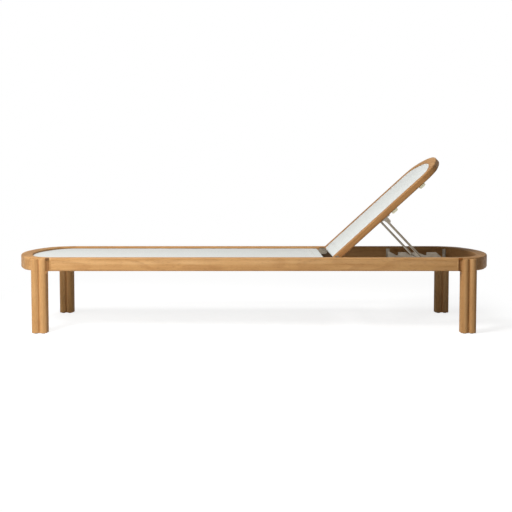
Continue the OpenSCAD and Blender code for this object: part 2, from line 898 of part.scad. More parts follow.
module ledge_screws() {
    color(dark_steel)
        for (s = [-1, 1])
            to_side(s) ledge_screw_places() {
                rod_y(inner_y - ledge_w - screw_head_h, inner_y - ledge_w, screw_head_r);
                rod_y(inner_y - ledge_w, inner_y + screw_l - over, screw_r);
            }
}

side_rail(-1);  // side_rail_left
side_rail(1);  // side_rail_right
end_rail(-1);  // foot_end_rail
end_rail(1);  // head_end_rail
ring_corner(-1, -1);  // foot_corner_left
ring_corner(-1, 1);  // foot_corner_right
ring_corner(1, -1);  // head_corner_left
ring_corner(1, 1);  // head_corner_right
frame_tenons();
leg(-1, -1);  // foot_leg_left
leg(-1, 1);  // foot_leg_right
leg(1, -1);  // head_leg_left
leg(1, 1);  // head_leg_right
leg_studs();
leg_glides();
stretcher(foot_stretcher_x);  // foot_stretcher
stretcher(middle_stretcher_x);  // middle_stretcher
seat_end_tube();
seat_sling();
seat_welt();
hinge_plate(-1);  // hinge_plate_left
hinge_plate(1);  // hinge_plate_right
hinge_bolts();
hinge_screws();
rack(-1);  // rack_left
rack(1);  // rack_right
front_strap(-1);  // front_strap_left
front_strap(1);  // front_strap_right
rear_strap(-1);  // rear_strap_left
rear_strap(1);  // rear_strap_right
strap_screws();
rest_ledge(-1);  // rest_ledge_left
rest_ledge(1);  // rest_ledge_right
ledge_screws();
back_rail(-1);  // back_rail_left
back_rail(1);  // back_rail_right
back_corner(-1);  // back_corner_left
back_corner(1);  // back_corner_right
back_top_rail();
back_tenons();
back_lower_tube();
back_sling();
back_welt();
hinge_leaf(-1);  // hinge_leaf_left
hinge_leaf(1);  // hinge_leaf_right
leaf_screws();
back_buffers();
strut_bracket(-1);  // strut_bracket_left
strut_bracket(1);  // strut_bracket_right
bracket_screws();
strut_axle();
strut_arm(-1);  // strut_arm_left
strut_arm(1);  // strut_arm_right
strut_bosses();
foot_rod();
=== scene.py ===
"""Looks of the teak sun lounger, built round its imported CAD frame.

The ring frame, legs, back, hinge, rack and strut are the CAD nodes themselves, each with a
finish of its own. The two meshes are new sheets of cloth with sewn hems and stitches.
"""

import logging
import math
from dataclasses import dataclass, replace
from enum import Enum
from typing import Callable, Sequence

import bpy
import numpy as np
from mathutils import Euler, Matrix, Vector


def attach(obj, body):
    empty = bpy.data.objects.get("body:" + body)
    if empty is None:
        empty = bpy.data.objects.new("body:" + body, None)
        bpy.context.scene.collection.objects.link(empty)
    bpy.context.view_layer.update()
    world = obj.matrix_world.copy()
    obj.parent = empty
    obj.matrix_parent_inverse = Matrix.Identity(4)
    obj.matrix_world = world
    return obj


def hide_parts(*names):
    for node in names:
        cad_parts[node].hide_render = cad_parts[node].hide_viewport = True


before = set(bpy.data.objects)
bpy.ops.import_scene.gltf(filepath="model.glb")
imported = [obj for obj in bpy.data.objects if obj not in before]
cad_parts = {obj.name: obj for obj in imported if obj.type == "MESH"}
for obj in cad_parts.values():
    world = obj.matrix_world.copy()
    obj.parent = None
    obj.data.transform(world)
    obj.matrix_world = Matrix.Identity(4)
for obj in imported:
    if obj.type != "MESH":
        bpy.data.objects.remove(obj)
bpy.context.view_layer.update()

LOG = logging.getLogger("sun_lounger")
MM = 0.001

Colour = tuple[float, float, float]
Point = tuple[float, float, float]

WHITE: Colour = (1.0, 1.0, 1.0)
# The cloth's map holds half of each distance in metres, so that all of it fits in one unit
MAP_SHARE = 0.5


def paint(red: float, green: float, blue: float) -> Colour:
    """Turns a screen colour into the linear one that shaders use.

    Args:
        red: Red from 0 to 255.
        green: Green from 0 to 255.
        blue: Blue from 0 to 255.

    Returns:
        The three linear parts, by the usual sRGB curve: the screen value plus 0.055, over
        1.055, to the power of 2.4.
    """
    parts = np.array([red, green, blue]) / 255
    linear = np.where(parts <= 0.04045, parts / 12.92, ((parts + 0.055) / 1.055) ** 2.4)
    return tuple(float(p) for p in linear)


@dataclass(frozen=True)
class Sizes:
    """The lounger's sizes in millimetres and degrees, under the names of the part's source.

    Four have no name there: wrap_more is what a mesh's loop adds to its tube's radius,
    tube_up how far the loop's top stands above the mesh, hem_pass how far the hem passes
    the loop, and strut_dip the strut's fall from the level.
    """

    ring_l: float = 2050.0
    ring_w: float = 740.0
    ring_top: float = 317.0
    rail_w: float = 50.0
    rail_h: float = 55.0
    corner_r: float = 140.0
    end_r: float = 760.0
    leg_drop: float = 4.0
    glide_t: float = 3.0
    seat_drop: float = 9.0
    seat_to_hinge: float = 29.0
    tube_r: float = 8.0
    back_angle: float = 42.4
    hinge_to_head: float = 694.0
    hinge_drop: float = 19.0
    back_gap: float = 4.5
    back_w: float = 42.0
    back_start: float = 12.0
    back_mesh_v: float = 10.0
    strut_dip: float = 46.35
    leg_off: float = 54.0
    leg_w: float = 65.0
    cove_at: float = 4.0
    cove_out: float = 1.0
    cove_r: float = 10.0
    tube_end_gap: float = 4.0
    hem_pass: float = 2.0
    wrap_more: float = 1.8
    tube_up: float = 0.3

    @property
    def corner_y(self) -> float:
        """Y of the corner arcs' centres."""
        return self.ring_w / 2 - self.corner_r

    @property
    def end_x(self) -> float:
        """X of the bow's centre."""
        return self.ring_l / 2 - self.end_r

    @property
    def corner_x(self) -> float:
        """X of the corner arcs' centres, where the arcs touch the bow."""
        return self.end_x + math.sqrt((self.end_r - self.corner_r) ** 2 - self.corner_y**2)

    @property
    def cove_x(self) -> float:
        """X of the middle of the hollow beside each leg."""
        return self.corner_x + self.leg_off - self.leg_w / 2 - self.cove_at

    @property
    def chord_turn(self) -> float:
        """Angle of the middle of a corner arc from X, in radians."""
        return (math.pi / 2 + math.asin(self.corner_y / (self.end_r - self.corner_r))) / 2

    @property
    def inner_y(self) -> float:
        """Y of the side rails' inner faces."""
        return self.ring_w / 2 - self.rail_w

    @property
    def rail_low(self) -> float:
        """Height of the rails' undersides."""
        return self.ring_top - self.rail_h

    @property
    def hinge_x(self) -> float:
        """X of the hinge pin."""
        return self.ring_l / 2 - self.hinge_to_head

    @property
    def hinge_z(self) -> float:
        """Height of the hinge pin."""
        return self.ring_top - self.hinge_drop

    @property
    def wrap_r(self) -> float:
        """Outer radius of a mesh's loop in the CAD."""
        return self.tube_r + self.wrap_more

    @property
    def back_off(self) -> float:
        """Inset of the back's outline from the ring's outline."""
        return self.rail_w + self.back_gap

    @property
    def back_way(self) -> Point:
        """The way up along the raised back."""
        tilt = math.radians(self.back_angle)
        return math.cos(tilt), 0.0, math.sin(tilt)

    @property
    def outline(self) -> "Outline":
        """Plan of the ring's end."""
        return Outline(
            self.ring_w / 2, self.corner_x, self.corner_y, self.corner_r, self.end_x, self.end_r
        )


SIZES = Sizes()


# Shader maths


def turn_to_x(way: Point) -> Euler:
    """Returns the turn that takes a direction to X."""
    return Vector(way).to_track_quat("X", "Z").inverted().to_euler()


class Wire:
    """A value in one node tree, on which sums add Math nodes."""

    def __init__(self, book: "NodeBook", socket: bpy.types.NodeSocket) -> None:
        """Wraps an output socket of the book's node tree."""
        self.book = book
        self.socket = socket

    def __add__(self, other: "Wire | float") -> "Wire":
        """Adds."""
        return self.book.math("ADD", self, other)

    __radd__ = __add__

    def __sub__(self, other: "Wire | float") -> "Wire":
        """Takes away."""
        return self.book.math("SUBTRACT", self, other)

    def __rsub__(self, other: float) -> "Wire":
        """Takes this from a number."""
        return self.book.math("SUBTRACT", other, self)

    def __mul__(self, other: "Wire | float") -> "Wire":
        """Multiplies."""
        return self.book.math("MULTIPLY", self, other)

    __rmul__ = __mul__

    def __truediv__(self, other: "Wire | float") -> "Wire":
        """Divides."""
        return self.book.math("DIVIDE", self, other)

    def __pow__(self, power: float) -> "Wire":
        """Raises to a power."""
        return self.book.math("POWER", self, power)

    def __abs__(self) -> "Wire":
        """Drops the sign."""
        return self.book.math("ABSOLUTE", self)

    def sine(self) -> "Wire":
        """Returns the sine, of radians."""
        return self.book.math("SINE", self)

    def most(self, other: "Wire | float") -> "Wire":
        """Returns the larger of the two."""
        return self.book.math("MAXIMUM", self, other)

    def least(self, other: "Wire | float") -> "Wire":
        """Returns the smaller of the two."""
        return self.book.math("MINIMUM", self, other)

    def fraction(self) -> "Wire":
        """Returns the part behind the decimal point."""
        return self.book.math("FRACT", self)

    def rise(self, low: float, high: float) -> "Wire":
        """Returns a smooth step from 0 at low to 1 at high, or down where high is less.

        Args:
            low: The value at which the step begins.
            high: The value at which it ends.

        Returns:
            Three times the square less twice the cube of the clamped share.
        """
        start, end, flip = (low, high, False) if low < high else (high, low, True)
        step = self.book.wire(
            "ShaderNodeMapRange", {"interpolation_type": "SMOOTHSTEP"},
            {"Value": self, "From Min": start, "From Max": end}, "Result",
        )
        return 1 - step if flip else step


class NodeBook:
    """The nodes of one material or world."""

    def __init__(self, name: str, world: bool = False) -> None:
        """Makes an empty node tree.

        Args:
            name: The name of its material or world.
            world: Whether it is a world's.
        """
        self.owner = (bpy.data.worlds if world else bpy.data.materials).new(name)
        self.owner.use_nodes = True
        self.tree = self.owner.node_tree
        self.tree.nodes.clear()

    def node(
        self, kind: str, settings: dict[str, object] | None = None,
        inputs: dict[str | int, object] | None = None,
    ) -> bpy.types.Node:
        """Adds any node.

        Args:
            kind: The node's type name.
            settings: Its settings, such as a Math node's operation, set before the sockets.
                The stops of a ramp come as a list of pairs of place and colour.
            inputs: What its sockets get, by name or number: numbers, tuples or wires.
                A colour is given as three parts.

        Returns:
            The node.
        """
        made = self.tree.nodes.new(kind)
        for key, value in (settings or {}).items():
            if key == "stops":
                stops = made.color_ramp.elements
                while len(stops) < len(value):
                    stops.new(0.5)
                for stop, (place, colour) in zip(stops, value):
                    stop.position, stop.color = place, (*colour, 1)
            else:
                setattr(made, key, value)
        for key, value in (inputs or {}).items():
            socket = made.inputs[key]
            if isinstance(value, Wire):
                self.tree.links.new(value.socket, socket)
            else:
                socket.default_value = (*value, 1) if socket.type == "RGBA" else value
        return made

    def wire(
        self, kind: str, settings: dict[str, object] | None = None,
        inputs: dict[str | int, object] | None = None, output: str | int = 0,
    ) -> Wire:
        """Adds a node as node() does, and returns one of its outputs, by name or number."""
        return Wire(self, self.node(kind, settings, inputs).outputs[output])

    def math(self, operation: str, *terms: "Wire | float") -> Wire:
        """Adds a Math node on one or two wires or numbers."""
        return self.wire("ShaderNodeMath", {"operation": operation}, dict(enumerate(terms)))

    def mix(self, share: "Wire | float", first: "Wire | Colour", second: "Wire | Colour") -> Wire:
        """Mixes two colours by the share of the second."""
        colours = {0: share, 6: first, 7: second}
        return self.wire("ShaderNodeMix", {"data_type": "RGBA"}, colours, 2)

    def shader(self, kind: str, inputs: dict[str | int, object]) -> Wire:
        """Adds a shader node whose sockets get the inputs, as any node's do."""
        return self.wire(kind, None, inputs)

    def blend(self, share: Wire, first: Wire, second: Wire) -> Wire:
        """Mixes two shaders by the share of the second."""
        return self.shader("ShaderNodeMixShader", {0: share, 1: first, 2: second})

    def ray(self, kind: str) -> Wire:
        """Returns 1 for one kind of ray, named as Light Path names it, and 0 for the others."""
        return self.wire("ShaderNodeLightPath", output=kind)

    def close(self, surface: Wire, kind: str = "ShaderNodeOutputMaterial") -> None:
        """Joins the last shader to the output, of the given node type."""
        self.node(kind, None, {"Surface": surface})

    def ramp(self, value: Wire, stops: Sequence[tuple[float, Colour]]) -> Wire:
        """Turns a value from 0 to 1 into a colour, by pairs of place and colour."""
        return self.wire("ShaderNodeValToRGB", {"stops": stops}, {0: value})

    def vector(self, operation: str, vector: Wire, other: Point) -> Wire:
        """Adds a Vector Math node, which works on a vector part by part."""
        return self.wire("ShaderNodeVectorMath", {"operation": operation}, {0: vector, 1: other})

    def noise(self, vector: Wire, scale: Point, detail: float = 2, rough: float = 0.5) -> Wire:
        """Adds cloudy noise on a stretched vector.

        Args:
            vector: The place.
            scale: Cells to the metre along each axis.
            detail: How many finer layers it has.
            rough: How strong those are.

        Returns:
            Noise from 0 to 1, mostly near a half.
        """
        place = self.vector("MULTIPLY", vector, scale)
        inputs = {"Vector": place, "Scale": 1.0, "Detail": detail, "Roughness": rough}
        return self.wire("ShaderNodeTexNoise", None, inputs, "Fac")

    def parts(self, vector: Wire) -> tuple[Wire, Wire, Wire]:
        """Splits a vector into its three parts."""
        made = self.node("ShaderNodeSeparateXYZ", None, {0: vector})
        return tuple(Wire(self, made.outputs[i]) for i in range(3))

    def place(self) -> Wire:
        """Returns the Object coordinates, in metres."""
        return self.wire("ShaderNodeTexCoord", output="Object")

    def turned(self, turn: Euler) -> Wire:
        """Returns the Object coordinates turned about the origin."""
        return self.wire("ShaderNodeMapping", None, {0: self.place(), "Rotation": turn})

    def bump(self, height: Wire, depth: float, strength: float) -> Wire:
        """Turns a height of 0 to 1 into a normal. Depth is what 1 stands for, in metres."""
        inputs = {"Strength": strength, "Distance": depth, "Height": height}
        return self.wire("ShaderNodeBump", None, inputs, "Normal")

    def finish(self, **sockets: object) -> bpy.types.Material:
        """Adds the surface shader and the output.

        Args:
            **sockets: The shader's values or wires, with low lines for blanks.

        Returns:
            The material.
        """
        inputs = {
            " ".join(w if w == "IOR" else w.capitalize() for w in key.split("_")): value
            for key, value in sockets.items()
        }
        self.close(self.shader("ShaderNodeBsdfPrincipled", inputs))
        return self.owner


# Finishes


@dataclass(frozen=True)
class Teak:
    """Sanded teak with a light oil finish, whose grain runs one way through the piece."""

    name: str
    grain: Point
    seed: int
    tone: float = 0.5
    cut_ends: tuple[float, ...] = ()
    # The next three zones place painted shade: the hollow beside a leg, the inner faces, and the
    # rails by the hinges.
    hollow: tuple[float, float, float] | None = None
    inner: tuple[float, ...] | None = None
    stain: tuple[float, float, float] | None = None
    pale: Colour = paint(219, 176, 124)
    golden: Colour = paint(200, 152, 97)
    brown: Colour = paint(160, 111, 64)
    pore: Colour = paint(104, 66, 36)
    # The next three colours are painted shade: in the hollow beside a leg, on inner faces, and by
    # the hinges.
    oiled: Colour = paint(104, 62, 24)
    inner_shade: Colour = paint(128, 80, 28)
    hinge_shade_colour: Colour = paint(44, 32, 22)
    ring_pitch: float = 4.2 * MM
    pith_off: float = 0.11
    middle_z: float = 0.2
    bent: float = 0.034
    drifted: float = 0.05
    level_from: float = 0.08
    tone_pull: float = 0.5
    streaked: float = 0.38
    banded: float = 0.3
    mottled: float = 0.16
    ring_dark: float = 0.12
    pore_dark: float = 0.42
    fleck_pale: float = 0.16
    cut_dark: float = 0.5
    cut_edge: tuple[float, float] = (0.9 * MM, 0.2 * MM)
    # How strongly the painted shade shows in each zone, and how wide the shade by the hinge fades
    # out.
    hollow_dark: float = 0.95
    inner_dark: float = 0.4
    stain_dark: float = 0.6
    stain_edge: float = 9 * MM
    shine: float = 0.2
    relief: float = 0.25 * MM
    relief_share: float = 0.6

    def make(self) -> bpy.types.Material:
        """Builds the material.

        The place is turned so that its first part runs with the grain. Growth rings are
        the fraction of the distance from a pith line outside the piece, bent by slow noise.
        Streaks, pores and mottling are noise drawn out along the grain.

        Returns:
            The material.
        """
        book = NodeBook(self.name)
        rng = np.random.default_rng(self.seed)
        turn = turn_to_x(self.grain)
        shift = tuple(float(x) for x in rng.uniform(-4, 4, 3))
        local = book.turned(turn)
        spot = book.vector("ADD", local, shift)
        along, across, deep = book.parts(local)

        bend = book.noise(spot, (1.6, 7, 7), 2, 0.55)
        drift = book.noise(spot, (0.7, 2.5, 2.5), 1)
        angle = rng.uniform(0.2, 1.3)
        centre_a, centre_b = self.middle(turn)
        off_a = across - float(centre_a + self.pith_off * math.cos(angle))
        off_b = deep - float(centre_b + self.pith_off * math.sin(angle))
        radius = (off_a * off_a + off_b * off_b) ** 0.5
        rings = (radius + bend * self.bent + drift * self.drifted) / self.ring_pitch
        wave = rings.fraction()
        late = wave.rise(0.25, 0.8) * wave.rise(1.0, 0.86)

        streak = book.noise(spot, (1.1, 62, 62), 3, 0.62)
        band = book.noise(spot, (0.6, 21, 21))
        mottle = book.noise(spot, (9, 34, 34), 3, 0.6)
        pores = book.noise(spot, (46, 1500, 1500), 1, 0.4).rise(0.60, 0.72)
        flecks = book.noise(spot, (120, 900, 900), 1).rise(0.64, 0.74)

        figure = streak * self.streaked + band * self.banded + mottle * self.mottled
        level = figure + (self.tone - 0.5) * self.tone_pull + self.level_from
        base = book.ramp(level, [(0.34, self.pale), (0.5, self.golden), (0.68, self.brown)])
        ringed = book.mix(late * (self.ring_dark + band * self.banded), base, self.brown)
        dashed = book.mix(pores * self.pore_dark, ringed, self.pore)
        colour = book.mix(flecks * self.fleck_pale, dashed, self.pale)
        for end in self.cut_ends:
            cut = abs(along - end).rise(*self.cut_edge)
            colour = book.mix(cut * self.cut_dark, colour, self.brown)
        # Painted shade in the hollow beside a leg, where the leg stands proud of the rail.
        if self.hollow:
            hollow = self.inside(book, self.hollow)
            colour = book.mix(hollow * self.hollow_dark, colour, self.oiled)
        # Painted shade on the inner faces, which stand in shade under the mesh.
        if self.inner:
            inner = self.inside(book, self.inner)
            colour = book.mix(inner * self.inner_dark, colour, self.inner_shade)
            # Painted shade on the rail by the hinge, in the gap between seat and back.
            if self.stain:
                hinge_shade_mask = self.inside(book, self.stain, self.stain_edge) * inner
                colour = book.mix(hinge_shade_mask * (self.stain_dark + mottle * 0.5), colour, self.hinge_shade_colour)

        rough = 0.5 + streak * 0.1 + pores * 0.16 - late * 0.05
        height = 0.6 - pores * 0.5 + late * 0.14 + mottle * 0.12
        return book.finish(
            base_color=colour,
            roughness=rough,
            specular_IOR_level=self.shine,
            normal=book.bump(height, self.relief, self.relief_share),
        )

    def inside(self, book: NodeBook, zone: tuple[float, ...], edge: float = 0.4 * MM) -> Wire:
        """Marks what lies inside an upright round zone or near the lounger's middle line.

        Args:
            book: The material's nodes.
            zone: The round zone's middle X, middle Y and radius, or one distance from the
                middle line.
            edge: Half the width over which the zone ends.

        Returns:
            1 inside the zone, and 0 outside, by the distance in plan.
        """
        x, y, _ = book.parts(book.place())
        if len(zone) == 1:
            return abs(y).rise(zone[0] + edge, zone[0] - edge)
        off_x, off_y = x - zone[0], y - zone[1]
        distance = (off_x * off_x + off_y * off_y) ** 0.5
        return distance.rise(zone[2] + edge, zone[2] - edge)

    def middle(self, turn: Euler) -> tuple[float, float]:
        """Returns Y and Z of a point on the lounger's middle line, by the grain's turn."""
        point = turn.to_matrix() @ Vector((0.0, 0.0, self.middle_z))
        return point.y, point.z


@dataclass(frozen=True)
class BrushedSteel:
    """Stainless steel with fine brush lines along one axis."""

    name: str
    along: Point
    tint: Colour = paint(190, 181, 166)
    shade: Colour = paint(138, 129, 115)
    rough: float = 0.34

    def make(self) -> bpy.types.Material:
        """Builds the material: noise drawn out along the brush lines tints and roughens.

        Returns:
            The material.
        """
        book = NodeBook(self.name)
        local = book.turned(turn_to_x(self.along))
        lines = book.noise(local, (18, 2600, 2600), 2, 0.6)
        cloud = book.noise(local, (14, 22, 22), 3, 0.6)
        spots = book.noise(local, (210, 260, 260)).rise(0.62, 0.75)
        colour = book.mix((lines * 0.5 + cloud * 0.5).rise(0.35, 0.68), self.shade, self.tint)
        dulled = book.mix(spots * 0.25, colour, self.shade)
        return book.finish(
            base_color=dulled,
            metallic=1.0,
            roughness=self.rough + cloud * 0.16 + spots * 0.1 - lines * 0.05,
            normal=book.bump(lines, 0.04 * MM, 0.5),
        )


@dataclass(frozen=True)
class WovenMesh:
    """Coated outdoor yarn in a plain weave, which follows the cloth's map."""

    name: str
    pitch: float = 2.2 * MM
    yarn: Colour = paint(241, 245, 242)
    # The valley colour serves the yarn's darker slubs and painted shade in the weave's low parts;
    # the hole colour is painted shade in the gaps between yarns.
    slub_and_valley_shade: Colour = paint(196, 199, 197)
    warm: Colour = paint(240, 239, 235)
    gap_shade: Colour = paint(132, 130, 124)
    slub_dark: float = 0.1
    relief_dark: float = 0.26
    hole_dark: float = 0.22
    relief: float = 0.35 * MM
    relief_share: float = 0.35

    def make(self) -> bpy.types.Material:
        """Builds the material.

        A warp and a weft of round yarns cross: each yarn's roundness is the absolute sine
        across it, and the sign of the product of the sines at half pitch says which is up.

        Returns:
            The material.
        """
        book = NodeBook(self.name)
        flat = book.wire("ShaderNodeUVMap", {"uv_map": "cloth"})
        u, v, _ = book.parts(flat)
        step = 2 * math.pi / self.pitch
        warp, weft = (u * step).sine(), (v * step).sine()
        over = (u * (step / 2)).sine() * (v * (step / 2)).sine()
        tops = (over * 2.2).rise(-1.0, 1.0)
        height = abs(warp) * tops + abs(weft) * (1 - tops)
        gap = (1 - abs(warp)).least(1 - abs(weft)).rise(0.45, 0.9)
        warp_slub = book.noise(flat, (7, 260, 1), 2, 0.6)
        weft_slub = book.noise(flat, (260, 7, 1), 2, 0.6)
        slub = warp_slub * 0.5 + weft_slub * 0.5
        haze = book.noise(flat, (2.4, 3.1, 1), 3, 0.55)
        body = book.mix(haze.rise(0.3, 0.72) * 0.5, self.yarn, self.warm)
        yarn = book.mix((slub * 1.4).rise(0.45, 0.95) * self.slub_dark, body, self.slub_and_valley_shade)
        # Painted shade: the weave's low parts and the gaps between yarns are darkened.
        relief = book.mix(height.rise(0.95, 0.1) * self.relief_dark, yarn, self.slub_and_valley_shade)
        colour = book.mix(gap * self.hole_dark, relief, self.gap_shade)
        return book.finish(
            base_color=colour,
            roughness=0.62 + height * 0.12,
            specular_IOR_level=0.35,
            sheen_weight=0.12,
            sheen_roughness=0.5,
            normal=book.bump(height, self.relief, self.relief_share),
        )


@dataclass(frozen=True)
class TwistedThread:
    """Bonded polyester thread or cord with a slanting lay."""

    name: str
    pale: Colour = paint(236, 234, 226)
    dark: Colour = paint(190, 187, 176)
    lay: float = 1.1 * MM

    def make(self) -> bpy.types.Material:
        """Builds the material: a slanting sine wave shades and lifts the strands.

        Returns:
            The material.
        """
        book = NodeBook(self.name)
        x, y, z = book.parts(book.place())
        slant = (x + y + z) * (2 * math.pi / self.lay)
        strand = slant.sine() * 0.5 + 0.5
        fuzz = book.noise(book.place(), (700, 700, 700), 2, 0.6)
        colour = book.mix(strand * 0.6 + fuzz * 0.3, self.dark, self.pale)
        return book.finish(
            base_color=colour,
            roughness=0.6 + fuzz * 0.2,
            normal=book.bump(strand, 0.12 * MM, 0.6),
        )


@dataclass(frozen=True)
class MouldedPlastic:
    """Moulded nylon or rubber with a fine spark-eroded skin and scuffs."""

    name: str
    colour: Colour
    scuff: Colour
    rough: float = 0.5

    def make(self) -> bpy.types.Material:
        """Builds the material: fine noise grains the skin and slow noise scuffs it.

        Returns:
            The material.
        """
        book = NodeBook(self.name)
        place = book.place()
        skin = book.noise(place, (1500, 1500, 1500))
        cloud = book.noise(place, (70, 70, 70), 3, 0.6)
        worn = cloud.rise(0.5, 0.72)
        colour = book.mix(worn * 0.55, self.colour, self.scuff)
        return book.finish(
            base_color=book.mix(skin * 0.15, colour, self.scuff),
            roughness=self.rough + worn * 0.2 + skin * 0.08,
            normal=book.bump(skin, 0.06 * MM, 0.5),
        )


# Mesh making


def add_piece(
    name: str, points: np.ndarray, faces: np.ndarray, material: bpy.types.Material,
    uv: np.ndarray | None = None,
) -> bpy.types.Object:
    """Puts arrays into a new object at the origin.

    Args:
        name: The piece's name.
        points: Points in metres, one row each.
        faces: Four point numbers a row, counter-clockwise from outside.
        material: Its finish.
        uv: The cloth map, one row for each point, or None.

    Returns:
        The object, smooth shaded.
    """
    mesh = bpy.data.meshes.new(name)
    mesh.from_pydata(points.tolist(), [], faces.tolist())
    if uv is not None:
        layer = mesh.uv_layers.new(name="cloth")
        layer.data.foreach_set("uv", uv[faces.ravel()].astype(np.float32).ravel())
    mesh.polygons.foreach_set("use_smooth", np.ones(len(mesh.polygons), bool))
    mesh.materials.append(material)
    mesh.update()
    piece = bpy.data.objects.new(name, mesh)
    bpy.context.scene.collection.objects.link(piece)
    return piece


def grid_faces(rows: int, columns: int, round_columns: bool = False) -> np.ndarray:
    """Numbers the quads of a grid of points that is stored row by row.

    Args:
        rows: Rows of points.
        columns: Points in a row.
        round_columns: Whether each row closes on itself.

    Returns:
        Four point numbers a quad: here, next column, next column of next row, next row.
    """
    across = columns if round_columns else columns - 1
    i, j = np.meshgrid(np.arange(rows - 1), np.arange(across), indexing="ij")
    k = (j + 1) % columns
    here, below = i * columns, (i + 1) * columns
    return np.stack([here + j, here + k, below + k, below + j], -1).reshape(-1, 4)


CORNER_STEPS, BOW_STEPS = 60, 160


@dataclass
class Outline:
    """Plan of the bowed end of the ring or back: straight sides, corner arcs and a bow."""

    half: float
    corner_x: float
    corner_y: float
    corner_r: float
    bow_x: float
    bow_r: float

    def inset(self, off: float) -> "Outline":
        """Returns the outline drawn in by a distance."""
        half, corner_r, bow_r = (size - off for size in (self.half, self.corner_r, self.bow_r))
        return replace(self, half=half, corner_r=corner_r, bow_r=bow_r)

    def reach(self, y: np.ndarray) -> np.ndarray:
        """Returns how far the outline reaches in X at each Y.

        Args:
            y: Distances from the middle line.

        Returns:
            The bow's circle inside the angle where the arcs meet, else the corner's circle.
        """
        meet_y = self.bow_r * self.corner_y / (self.bow_r - self.corner_r)
        size = np.abs(y)
        bow = self.bow_x + np.sqrt(np.maximum(self.bow_r**2 - size**2, 0))
        off = np.clip(size - self.corner_y, 0, self.corner_r)
        corner = self.corner_x + np.sqrt(np.maximum(self.corner_r**2 - off**2, 0))
        return np.where(size < meet_y, bow, corner)

    def line(self, start_x: float, pitch: float) -> tuple[np.ndarray, np.ndarray]:
        """Walks the outline from one straight side round the bow to the other.

        Args:
            start_x: X at which both straight sides begin.
            pitch: Distance between points.

        Returns:
            Points in plan and the unit directions of travel, one row each.
        """
        meet = math.asin(self.corner_y / (self.bow_r - self.corner_r))
        turn = np.linspace(-math.pi / 2, -meet, CORNER_STEPS)
        bow = np.linspace(-meet, meet, BOW_STEPS)[1:]
        low = np.stack([np.cos(turn), np.sin(turn)], 1) * self.corner_r
        low += [self.corner_x, -self.corner_y]
        mid = np.stack([np.cos(bow), np.sin(bow)], 1) * self.bow_r + [self.bow_x, 0]
        high = (low * [1, -1])[::-1][1:]
        path = np.vstack([[[start_x, -self.half]], low, mid, high, [[start_x, self.half]]])
        length = np.concatenate([[0], np.cumsum(np.linalg.norm(np.diff(path, axis=0), axis=1))])
        at = np.arange(pitch / 2, length[-1], pitch)
        behind, spots, ahead = (
            np.stack([np.interp(at + off, length, path[:, k]) for k in (0, 1)], 1)
            for off in (-pitch / 8, 0, pitch / 8)
        )
        way = ahead - behind
        return spots, way / np.linalg.norm(way, axis=1)[:, None]


STITCH_STATIONS, STITCH_SIDES = 5, 6
STITCH_TAPER, STITCH_LIFT, STITCH_SINK = 0.94, 0.9, 0.35


def stitch_row(
    centres: np.ndarray, ways: np.ndarray, ups: np.ndarray, length: float, radius: float
) -> tuple[np.ndarray, np.ndarray]:
    """Lays one small lens-shaped stitch at each place.

    A stitch is a ring of points at each of a few stations along it, from -1 to 1. The
    radius is the square root of one less the square of the tapered station, and a cosine
    lifts the middle, so that the thread dives into the cloth at both ends.

    Args:
        centres: Places, one row each.
        ways: Unit directions along the seam.
        ups: Unit directions off the cloth.
        length: A stitch's length.
        radius: The thread's radius.

    Returns:
        Points and quads of all the stitches.
    """
    station = np.linspace(-1, 1, STITCH_STATIONS)
    angle = np.linspace(0, 2 * math.pi, STITCH_SIDES, endpoint=False)
    size = radius * np.sqrt(np.maximum(1 - (STITCH_TAPER * station) ** 2, 0))
    lift = radius * (STITCH_LIFT * np.cos(station * math.pi / 2) - STITCH_SINK)
    sides = np.cross(ups, ways)
    along = station[:, None] * length / 2 * np.ones(STITCH_SIDES)
    side = size[:, None] * np.cos(angle)
    up = size[:, None] * np.sin(angle) + lift[:, None]
    shape = (
        centres[:, None, None, :]
        + along[None, :, :, None] * ways[:, None, None, :]
        + side[None, :, :, None] * sides[:, None, None, :]
        + up[None, :, :, None] * ups[:, None, None, :]
    )
    quads = grid_faces(STITCH_STATIONS, STITCH_SIDES, round_columns=True)
    first = np.arange(len(centres)) * STITCH_STATIONS * STITCH_SIDES
    every = quads[None] + first[:, None, None]
    return shape.reshape(-1, 3), every.reshape(-1, 4)


# Cloth


